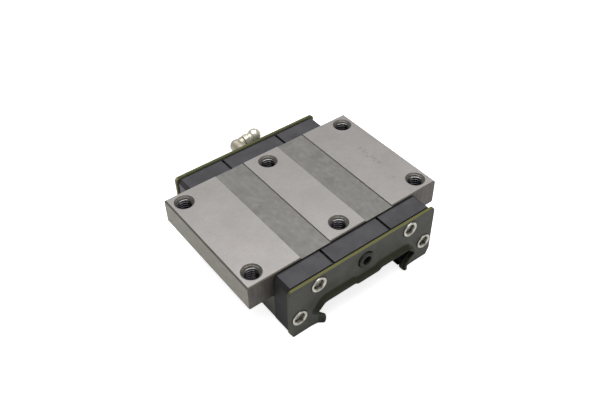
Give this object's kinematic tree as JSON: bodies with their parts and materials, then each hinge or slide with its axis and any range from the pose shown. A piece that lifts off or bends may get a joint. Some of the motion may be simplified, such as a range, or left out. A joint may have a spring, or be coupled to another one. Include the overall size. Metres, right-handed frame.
{
  "type": "linear guide carriage",
  "caption": "Wide flanged carriage for a linear guide rail: ground steel block with tapped mounting holes, recirculating ball circuits, end caps, wiping seals, lube plug and grease nipple.",
  "frame": {"origin": "centre of the top mounting face", "axes": "+Z out of the mounting face, Y along the rail with the grease nipple at +Y, X across the flanges"},
  "size_m": [0.08, 0.0796, 0.0233],
  "materials": {
    "ground_steel": "ground lands, satin milled recesses",
    "cap_plastic": "moulded, fine spark texture",
    "seal_rubber": "matte, oiled",
    "core_steel": "phosphated",
    "screw_steel": "nickel plated",
    "plug_steel": "black oxide",
    "nipple_steel": "plated",
    "ball_steel": "polished",
    "guide_plastic": "moulded",
    "spring_steel": "bright"
  },
  "bodies": {
    "carriage": {"carriage_block": "ground_steel", "top_ball_retainer": "guide_plastic", "left_side_ball_retainer": "guide_plastic", "left_bottom_ball_retainer": "guide_plastic", "left_bottom_seal": "seal_rubber", "right_side_ball_retainer": "guide_plastic", "right_bottom_ball_retainer": "guide_plastic", "right_bottom_seal": "seal_rubber", "front_end_cap": "cap_plastic", "front_seal_core": "core_steel", "front_end_seal": "seal_rubber", "front_cap_screws": "screw_steel", "front_left_return_guide": "guide_plastic", "front_right_return_guide": "guide_plastic", "rear_end_cap": "cap_plastic", "rear_seal_core": "core_steel", "rear_end_seal": "seal_rubber", "rear_cap_screws": "screw_steel", "rear_left_return_guide": "guide_plastic", "rear_right_return_guide": "guide_plastic", "left_upper_return_tube": "guide_plastic", "left_lower_return_tube": "guide_plastic", "right_upper_return_tube": "guide_plastic", "right_lower_return_tube": "guide_plastic", "lube_port_plug": "plug_steel", "grease_nipple_elbow": "nipple_steel", "grease_nipple_head": "nipple_steel", "grease_nipple_spring": "spring_steel"},
    "left_upper_load_row": {"left_upper_load_balls": "ball_steel"},
    "left_upper_return_row": {"left_upper_return_balls": "ball_steel"},
    "left_upper_front_turn": {"left_upper_front_turn_balls": "ball_steel"},
    "left_upper_rear_turn": {"left_upper_rear_turn_balls": "ball_steel"},
    "left_lower_load_row": {"left_lower_load_balls": "ball_steel"},
    "left_lower_return_row": {"left_lower_return_balls": "ball_steel"},
    "left_lower_front_turn": {"left_lower_front_turn_balls": "ball_steel"},
    "left_lower_rear_turn": {"left_lower_rear_turn_balls": "ball_steel"},
    "right_upper_load_row": {"right_upper_load_balls": "ball_steel"},
    "right_upper_return_row": {"right_upper_return_balls": "ball_steel"},
    "right_upper_front_turn": {"right_upper_front_turn_balls": "ball_steel"},
    "right_upper_rear_turn": {"right_upper_rear_turn_balls": "ball_steel"},
    "right_lower_load_row": {"right_lower_load_balls": "ball_steel"},
    "right_lower_return_row": {"right_lower_return_balls": "ball_steel"},
    "right_lower_front_turn": {"right_lower_front_turn_balls": "ball_steel"},
    "right_lower_rear_turn": {"right_lower_rear_turn_balls": "ball_steel"},
    "nipple_ball": {"grease_nipple_ball": "ball_steel"}
  },
  "joints": [
    {"name": "left_upper_ball_travel", "type": "slide", "parent": "carriage", "child": "left_upper_load_row", "axis": [0, 1, 0], "range_m": [-0.00167, 0.00167]},
    {"name": "left_upper_return_travel", "type": "slide", "parent": "carriage", "child": "left_upper_return_row", "axis": [0, 1, 0], "range_m": [-0.00167, 0.00167]},
    {"name": "left_upper_front_turn_travel", "type": "hinge", "parent": "carriage", "child": "left_upper_front_turn", "pos_m": [-0.02311, -0.025, -0.01077], "axis": [0.5736, 0, 0.8192], "range_deg": [-30.01, 30.01]},
    {"name": "left_upper_rear_turn_travel", "type": "hinge", "parent": "carriage", "child": "left_upper_rear_turn", "pos_m": [-0.02311, 0.025, -0.01077], "axis": [0.5736, 0, 0.8192], "range_deg": [-30.01, 30.01]},
    {"name": "left_lower_ball_travel", "type": "slide", "parent": "carriage", "child": "left_lower_load_row", "axis": [0, 1, 0], "range_m": [-0.00167, 0.00167]},
    {"name": "left_lower_return_travel", "type": "slide", "parent": "carriage", "child": "left_lower_return_row", "axis": [0, 1, 0], "range_m": [-0.00167, 0.00167]},
    {"name": "left_lower_front_turn_travel", "type": "hinge", "parent": "carriage", "child": "left_lower_front_turn", "pos_m": [-0.02343, -0.025, -0.01865], "axis": [-0.1736, 0, 0.9848], "range_deg": [-30.01, 30.01]},
    {"name": "left_lower_rear_turn_travel", "type": "hinge", "parent": "carriage", "child": "left_lower_rear_turn", "pos_m": [-0.02343, 0.025, -0.01865], "axis": [-0.1736, 0, 0.9848], "range_deg": [-30.01, 30.01]},
    {"name": "right_upper_ball_travel", "type": "slide", "parent": "carriage", "child": "right_upper_load_row", "axis": [0, 1, 0], "range_m": [-0.00167, 0.00167]},
    {"name": "right_upper_return_travel", "type": "slide", "parent": "carriage", "child": "right_upper_return_row", "axis": [0, 1, 0], "range_m": [-0.00167, 0.00167]},
    {"name": "right_upper_front_turn_travel", "type": "hinge", "parent": "carriage", "child": "right_upper_front_turn", "pos_m": [0.02311, -0.025, -0.01077], "axis": [0.5736, 0, -0.8192], "range_deg": [-30.01, 30.01]},
    {"name": "right_upper_rear_turn_travel", "type": "hinge", "parent": "carriage", "child": "right_upper_rear_turn", "pos_m": [0.02311, 0.025, -0.01077], "axis": [0.5736, 0, -0.8192], "range_deg": [-30.01, 30.01]},
    {"name": "right_lower_ball_travel", "type": "slide", "parent": "carriage", "child": "right_lower_load_row", "axis": [0, 1, 0], "range_m": [-0.00167, 0.00167]},
    {"name": "right_lower_return_travel", "type": "slide", "parent": "carriage", "child": "right_lower_return_row", "axis": [0, 1, 0], "range_m": [-0.00167, 0.00167]},
    {"name": "right_lower_front_turn_travel", "type": "hinge", "parent": "carriage", "child": "right_lower_front_turn", "pos_m": [0.02343, -0.025, -0.01865], "axis": [-0.1736, 0, -0.9848], "range_deg": [-30.01, 30.01]},
    {"name": "right_lower_rear_turn_travel", "type": "hinge", "parent": "carriage", "child": "right_lower_rear_turn", "pos_m": [0.02343, 0.025, -0.01865], "axis": [-0.1736, 0, -0.9848], "range_deg": [-30.01, 30.01]},
    {"name": "nipple_ball_lift", "type": "slide", "parent": "carriage", "child": "nipple_ball", "axis": [-0.9816, 0, -0.1908], "range_m": [0, 0.0006], "stiffness_N_per_m": 800, "springref_m": -0.0002, "deforming": ["grease_nipple_spring"]}
  ],
  "couplings": [
    {"joint": "left_upper_return_travel", "follows": "left_upper_ball_travel", "ratio": -1},
    {"joint": "left_upper_front_turn_travel", "follows": "left_upper_ball_travel", "rad_per_m": 314.16},
    {"joint": "left_upper_rear_turn_travel", "follows": "left_upper_ball_travel", "rad_per_m": 314.16},
    {"joint": "left_lower_return_travel", "follows": "left_lower_ball_travel", "ratio": -1},
    {"joint": "left_lower_front_turn_travel", "follows": "left_lower_ball_travel", "rad_per_m": 314.16},
    {"joint": "left_lower_rear_turn_travel", "follows": "left_lower_ball_travel", "rad_per_m": 314.16},
    {"joint": "right_upper_return_travel", "follows": "right_upper_ball_travel", "ratio": -1},
    {"joint": "right_upper_front_turn_travel", "follows": "right_upper_ball_travel", "rad_per_m": 314.16},
    {"joint": "right_upper_rear_turn_travel", "follows": "right_upper_ball_travel", "rad_per_m": 314.16},
    {"joint": "right_lower_return_travel", "follows": "right_lower_ball_travel", "ratio": -1},
    {"joint": "right_lower_front_turn_travel", "follows": "right_lower_ball_travel", "rad_per_m": 314.16},
    {"joint": "right_lower_rear_turn_travel", "follows": "right_lower_ball_travel", "rad_per_m": 314.16}
  ]
}
